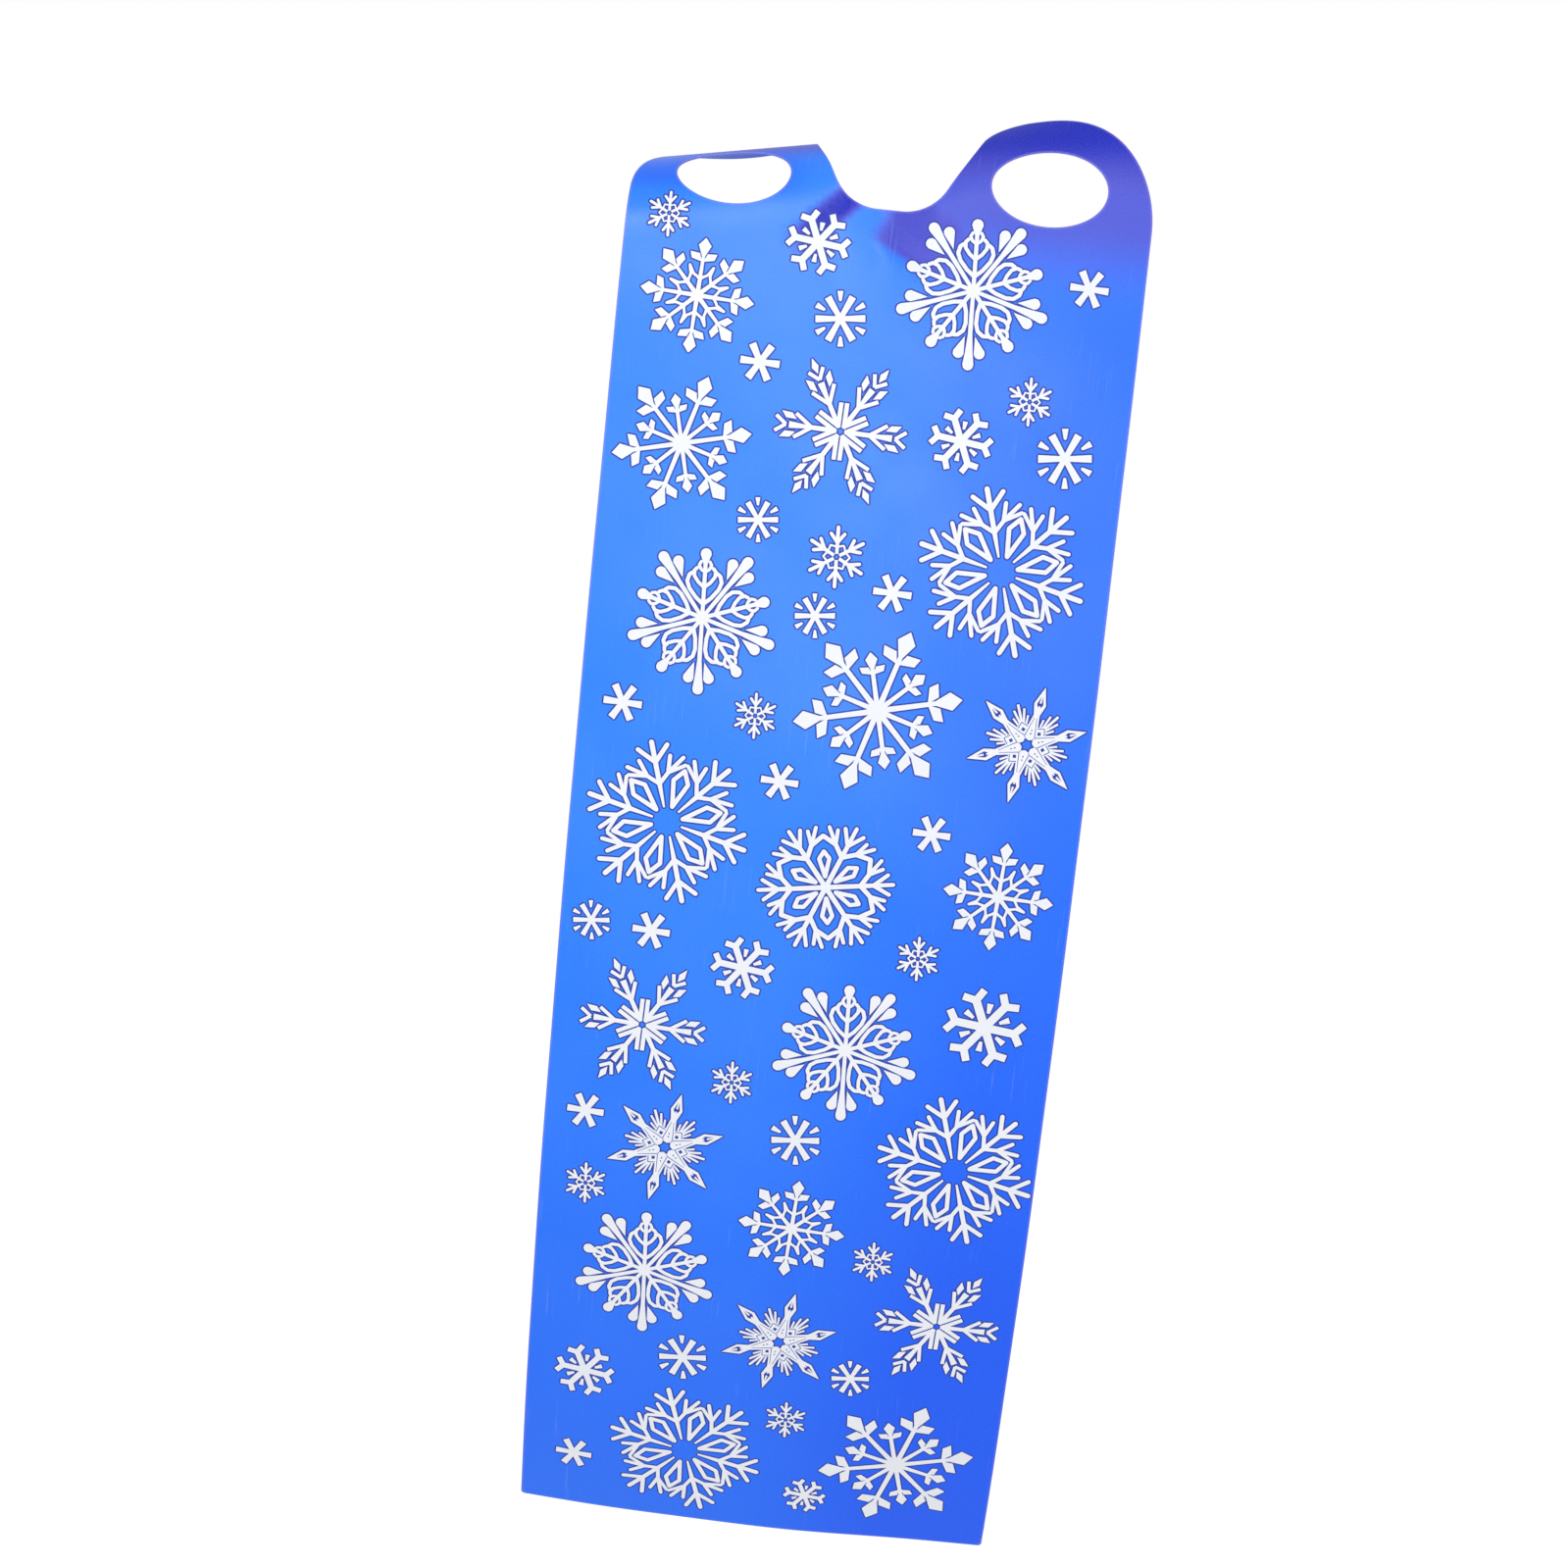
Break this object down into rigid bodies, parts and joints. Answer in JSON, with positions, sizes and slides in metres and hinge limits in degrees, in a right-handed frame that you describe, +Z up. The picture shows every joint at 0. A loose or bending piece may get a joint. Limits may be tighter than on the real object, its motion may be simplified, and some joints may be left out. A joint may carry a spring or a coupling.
{
  "type": "roll-up snow sled",
  "caption": "Flexible roll-up snow sled: a thin plastic sheet with handle lobes, oval hand holes and a finger notch, printed with white snowflakes, that rolls up into a tube.",
  "frame": {"origin": "bottom of the finger notch between the handle lobes, on the front of the sheet where it is pinched and held", "axes": "+Z up towards the handle lobes, +X across the sheet to the right seen from the printed front, +Y to the back of the sheet; the printed front faces -Y and the free end hangs at -Z"},
  "size_m": [0.4002, 0.1139, 1.196],
  "materials": {
    "sheet": "satin, with a fine grain"
  },
  "bodies": {
    "grip_section": {"grip_section": "sheet"},
    "left_handle_lobe": {"left_handle_lobe": "sheet"},
    "right_handle_lobe": {"right_handle_lobe": "sheet"},
    "roll_strip_01": {"roll_strip_01": "sheet"},
    "roll_strip_02": {"roll_strip_02": "sheet"},
    "roll_strip_03": {"roll_strip_03": "sheet"},
    "roll_strip_04": {"roll_strip_04": "sheet"},
    "roll_strip_05": {"roll_strip_05": "sheet"},
    "roll_strip_06": {"roll_strip_06": "sheet"},
    "roll_strip_07": {"roll_strip_07": "sheet"},
    "roll_strip_08": {"roll_strip_08": "sheet"},
    "roll_strip_09": {"roll_strip_09": "sheet"},
    "roll_strip_10": {"roll_strip_10": "sheet"},
    "roll_strip_11": {"roll_strip_11": "sheet"},
    "roll_strip_12": {"roll_strip_12": "sheet"},
    "roll_strip_13": {"roll_strip_13": "sheet"},
    "roll_strip_14": {"roll_strip_14": "sheet"},
    "roll_strip_15": {"roll_strip_15": "sheet"},
    "roll_strip_16": {"roll_strip_16": "sheet"},
    "roll_strip_17": {"roll_strip_17": "sheet"},
    "roll_strip_18": {"roll_strip_18": "sheet"},
    "roll_strip_19": {"roll_strip_19": "sheet"},
    "roll_strip_20": {"roll_strip_20": "sheet"},
    "roll_strip_21": {"roll_strip_21": "sheet"},
    "roll_strip_22": {"roll_strip_22": "sheet"},
    "roll_strip_23": {"roll_strip_23": "sheet"},
    "roll_strip_24": {"roll_strip_24": "sheet"},
    "roll_strip_25": {"roll_strip_25": "sheet"},
    "roll_strip_26": {"roll_strip_26": "sheet"},
    "roll_strip_27": {"roll_strip_27": "sheet"},
    "roll_strip_28": {"roll_strip_28": "sheet"},
    "roll_strip_29": {"roll_strip_29": "sheet"},
    "roll_strip_30": {"roll_strip_30": "sheet"},
    "roll_strip_31": {"roll_strip_31": "sheet"},
    "roll_strip_32": {"roll_strip_32": "sheet"},
    "roll_strip_33": {"roll_strip_33": "sheet"},
    "roll_strip_34": {"roll_strip_34": "sheet"},
    "roll_strip_35": {"roll_strip_35": "sheet"},
    "roll_strip_36": {"roll_strip_36": "sheet"}
  },
  "joints": [
    {"name": "left_lobe_bend", "type": "hinge", "parent": "grip_section", "child": "left_handle_lobe", "pos_m": [-0.02443, 0.00525, 0.00329], "axis": [-0.9836, -0.0047, -0.1801], "range_deg": [-18, 18], "stiffness_Nm_per_rad": 0.35, "springref_deg": -0.59},
    {"name": "right_lobe_bend", "type": "hinge", "parent": "grip_section", "child": "right_handle_lobe", "pos_m": [0.02445, 0.00563, 0.00323], "axis": [-0.9962, 0.0014, 0.0874], "range_deg": [-18, 18], "stiffness_Nm_per_rad": 0.35, "springref_deg": -0.2},
    {"name": "sheet_bend_01", "type": "hinge", "parent": "grip_section", "child": "roll_strip_01", "pos_m": [0, 0.0004, -0.06036], "axis": [1, 0, 0], "range_deg": [-7, 2.7], "stiffness_Nm_per_rad": 0.3, "springref_deg": -0.78},
    {"name": "sheet_bend_02", "type": "hinge", "parent": "roll_strip_01", "child": "roll_strip_02", "pos_m": [0, -0.0022, -0.08976], "axis": [1, 0, 0], "range_deg": [-7, 8.2], "stiffness_Nm_per_rad": 0.3, "springref_deg": 1.53},
    {"name": "sheet_bend_03", "type": "hinge", "parent": "roll_strip_02", "child": "roll_strip_03", "pos_m": [0, -0.00462, -0.11918], "axis": [1, 0, 0], "range_deg": [-7, 17.7], "stiffness_Nm_per_rad": 0.3, "springref_deg": 3.68},
    {"name": "sheet_bend_04", "type": "hinge", "parent": "roll_strip_03", "child": "roll_strip_04", "pos_m": [0, -0.00685, -0.1486], "axis": [1, 0, 0], "range_deg": [-7, 27.4], "stiffness_Nm_per_rad": 0.3, "springref_deg": 5.7},
    {"name": "sheet_bend_05", "type": "hinge", "parent": "roll_strip_04", "child": "roll_strip_05", "pos_m": [0, -0.00891, -0.17805], "axis": [1, 0, 0], "range_deg": [-7, 27.6], "stiffness_Nm_per_rad": 0.3, "springref_deg": 7.29},
    {"name": "sheet_bend_06", "type": "hinge", "parent": "roll_strip_05", "child": "roll_strip_06", "pos_m": [0, -0.01078, -0.2075], "axis": [1, 0, 0], "range_deg": [-7, 27.8], "stiffness_Nm_per_rad": 0.3, "springref_deg": 9.18},
    {"name": "sheet_bend_07", "type": "hinge", "parent": "roll_strip_06", "child": "roll_strip_07", "pos_m": [0, -0.01246, -0.23697], "axis": [1, 0, 0], "range_deg": [-7, 28], "stiffness_Nm_per_rad": 0.3, "springref_deg": 10.27},
    {"name": "sheet_bend_08", "type": "hinge", "parent": "roll_strip_07", "child": "roll_strip_08", "pos_m": [0, -0.01394, -0.26644], "axis": [1, 0, 0], "range_deg": [-7, 28.2], "stiffness_Nm_per_rad": 0.3, "springref_deg": 11.67},
    {"name": "sheet_bend_09", "type": "hinge", "parent": "roll_strip_08", "child": "roll_strip_09", "pos_m": [0, -0.01521, -0.29593], "axis": [1, 0, 0], "range_deg": [-7, 28.4], "stiffness_Nm_per_rad": 0.3, "springref_deg": 12.63},
    {"name": "sheet_bend_10", "type": "hinge", "parent": "roll_strip_09", "child": "roll_strip_10", "pos_m": [0, -0.01628, -0.32542], "axis": [1, 0, 0], "range_deg": [-7, 28.6], "stiffness_Nm_per_rad": 0.3, "springref_deg": 13.55},
    {"name": "sheet_bend_11", "type": "hinge", "parent": "roll_strip_10", "child": "roll_strip_11", "pos_m": [0, -0.01712, -0.35493], "axis": [1, 0, 0], "range_deg": [-7, 28.8], "stiffness_Nm_per_rad": 0.3, "springref_deg": 14.05},
    {"name": "sheet_bend_12", "type": "hinge", "parent": "roll_strip_11", "child": "roll_strip_12", "pos_m": [0, -0.01773, -0.38443], "axis": [1, 0, 0], "range_deg": [-7, 29], "stiffness_Nm_per_rad": 0.3, "springref_deg": 14.59},
    {"name": "sheet_bend_13", "type": "hinge", "parent": "roll_strip_12", "child": "roll_strip_13", "pos_m": [0, -0.01811, -0.41395], "axis": [1, 0, 0], "range_deg": [-7, 29.2], "stiffness_Nm_per_rad": 0.3, "springref_deg": 14.99},
    {"name": "sheet_bend_14", "type": "hinge", "parent": "roll_strip_13", "child": "roll_strip_14", "pos_m": [0, -0.01823, -0.44346], "axis": [1, 0, 0], "range_deg": [-7, 29.4], "stiffness_Nm_per_rad": 0.3, "springref_deg": 15.11},
    {"name": "sheet_bend_15", "type": "hinge", "parent": "roll_strip_14", "child": "roll_strip_15", "pos_m": [0, -0.0181, -0.47297], "axis": [1, 0, 0], "range_deg": [-1.5, 29.6], "stiffness_Nm_per_rad": 0.3, "springref_deg": 15.22},
    {"name": "sheet_bend_16", "type": "hinge", "parent": "roll_strip_15", "child": "roll_strip_16", "pos_m": [0, -0.01769, -0.50248], "axis": [1, 0, 0], "range_deg": [-1.5, 29.9], "stiffness_Nm_per_rad": 0.3, "springref_deg": 15.06},
    {"name": "sheet_bend_17", "type": "hinge", "parent": "roll_strip_16", "child": "roll_strip_17", "pos_m": [0, -0.017, -0.53199], "axis": [1, 0, 0], "range_deg": [-1.5, 30.1], "stiffness_Nm_per_rad": 0.3, "springref_deg": 14.82},
    {"name": "sheet_bend_18", "type": "hinge", "parent": "roll_strip_17", "child": "roll_strip_18", "pos_m": [0, -0.01601, -0.56149], "axis": [1, 0, 0], "range_deg": [-1.5, 30.3], "stiffness_Nm_per_rad": 0.3, "springref_deg": 14.36},
    {"name": "sheet_bend_19", "type": "hinge", "parent": "roll_strip_18", "child": "roll_strip_19", "pos_m": [0, -0.01471, -0.59097], "axis": [1, 0, 0], "range_deg": [-1.5, 30.6], "stiffness_Nm_per_rad": 0.3, "springref_deg": 13.92},
    {"name": "sheet_bend_20", "type": "hinge", "parent": "roll_strip_19", "child": "roll_strip_20", "pos_m": [0, -0.01308, -0.62044], "axis": [1, 0, 0], "range_deg": [-1.5, 30.8], "stiffness_Nm_per_rad": 0.3, "springref_deg": 13.29},
    {"name": "sheet_bend_21", "type": "hinge", "parent": "roll_strip_20", "child": "roll_strip_21", "pos_m": [0, -0.01111, -0.64989], "axis": [1, 0, 0], "range_deg": [-1.5, 31.1], "stiffness_Nm_per_rad": 0.3, "springref_deg": 12.62},
    {"name": "sheet_bend_22", "type": "hinge", "parent": "roll_strip_21", "child": "roll_strip_22", "pos_m": [0, -0.00877, -0.67931], "axis": [1, 0, 0], "range_deg": [-1.5, 31.4], "stiffness_Nm_per_rad": 0.3, "springref_deg": 11.82},
    {"name": "sheet_bend_23", "type": "hinge", "parent": "roll_strip_22", "child": "roll_strip_23", "pos_m": [0, -0.00606, -0.7087], "axis": [1, 0, 0], "range_deg": [-1.5, 31.6], "stiffness_Nm_per_rad": 0.3, "springref_deg": 10.9},
    {"name": "sheet_bend_24", "type": "hinge", "parent": "roll_strip_23", "child": "roll_strip_24", "pos_m": [0, -0.00296, -0.73805], "axis": [1, 0, 0], "range_deg": [-1.5, 31.9], "stiffness_Nm_per_rad": 0.3, "springref_deg": 9.96},
    {"name": "sheet_bend_25", "type": "hinge", "parent": "roll_strip_24", "child": "roll_strip_25", "pos_m": [0, 0.00055, -0.76735], "axis": [1, 0, 0], "range_deg": [-1.5, 32.2], "stiffness_Nm_per_rad": 0.3, "springref_deg": 8.96},
    {"name": "sheet_bend_26", "type": "hinge", "parent": "roll_strip_25", "child": "roll_strip_26", "pos_m": [0, 0.0045, -0.7966], "axis": [1, 0, 0], "range_deg": [-1.5, 32.5], "stiffness_Nm_per_rad": 0.3, "springref_deg": 7.92},
    {"name": "sheet_bend_27", "type": "hinge", "parent": "roll_strip_26", "child": "roll_strip_27", "pos_m": [0, 0.00889, -0.82579], "axis": [1, 0, 0], "range_deg": [-1.5, 32.8], "stiffness_Nm_per_rad": 0.3, "springref_deg": 6.89},
    {"name": "sheet_bend_28", "type": "hinge", "parent": "roll_strip_27", "child": "roll_strip_28", "pos_m": [0, 0.01376, -0.8549], "axis": [1, 0, 0], "range_deg": [-1.5, 33.1], "stiffness_Nm_per_rad": 0.3, "springref_deg": 5.87},
    {"name": "sheet_bend_29", "type": "hinge", "parent": "roll_strip_28", "child": "roll_strip_29", "pos_m": [0, 0.01911, -0.88392], "axis": [1, 0, 0], "range_deg": [-1.5, 33.4], "stiffness_Nm_per_rad": 0.3, "springref_deg": 4.88},
    {"name": "sheet_bend_30", "type": "hinge", "parent": "roll_strip_29", "child": "roll_strip_30", "pos_m": [0, 0.02498, -0.91285], "axis": [1, 0, 0], "range_deg": [-1.5, 33.8], "stiffness_Nm_per_rad": 0.3, "springref_deg": 3.88},
    {"name": "sheet_bend_31", "type": "hinge", "parent": "roll_strip_30", "child": "roll_strip_31", "pos_m": [0, 0.03138, -0.94166], "axis": [1, 0, 0], "range_deg": [-1.5, 34.1], "stiffness_Nm_per_rad": 0.3, "springref_deg": 2.88},
    {"name": "sheet_bend_32", "type": "hinge", "parent": "roll_strip_31", "child": "roll_strip_32", "pos_m": [0, 0.03833, -0.97034], "axis": [1, 0, 0], "range_deg": [-1.5, 34.5], "stiffness_Nm_per_rad": 0.3, "springref_deg": 2.01},
    {"name": "sheet_bend_33", "type": "hinge", "parent": "roll_strip_32", "child": "roll_strip_33", "pos_m": [0, 0.04585, -0.99888], "axis": [1, 0, 0], "range_deg": [-1.5, 34.8], "stiffness_Nm_per_rad": 0.3, "springref_deg": 1.3},
    {"name": "sheet_bend_34", "type": "hinge", "parent": "roll_strip_33", "child": "roll_strip_34", "pos_m": [0, 0.05398, -1.02725], "axis": [1, 0, 0], "range_deg": [-1.5, 35.2], "stiffness_Nm_per_rad": 0.3, "springref_deg": 0.68},
    {"name": "sheet_bend_35", "type": "hinge", "parent": "roll_strip_34", "child": "roll_strip_35", "pos_m": [0, 0.06272, -1.05544], "axis": [1, 0, 0], "range_deg": [-1.5, 35.6], "stiffness_Nm_per_rad": 0.3, "springref_deg": 0.27},
    {"name": "sheet_bend_36", "type": "hinge", "parent": "roll_strip_35", "child": "roll_strip_36", "pos_m": [0, 0.0721, -1.08343], "axis": [1, 0, 0], "range_deg": [-1.5, 36], "stiffness_Nm_per_rad": 0.3, "springref_deg": 0.02}
  ]
}
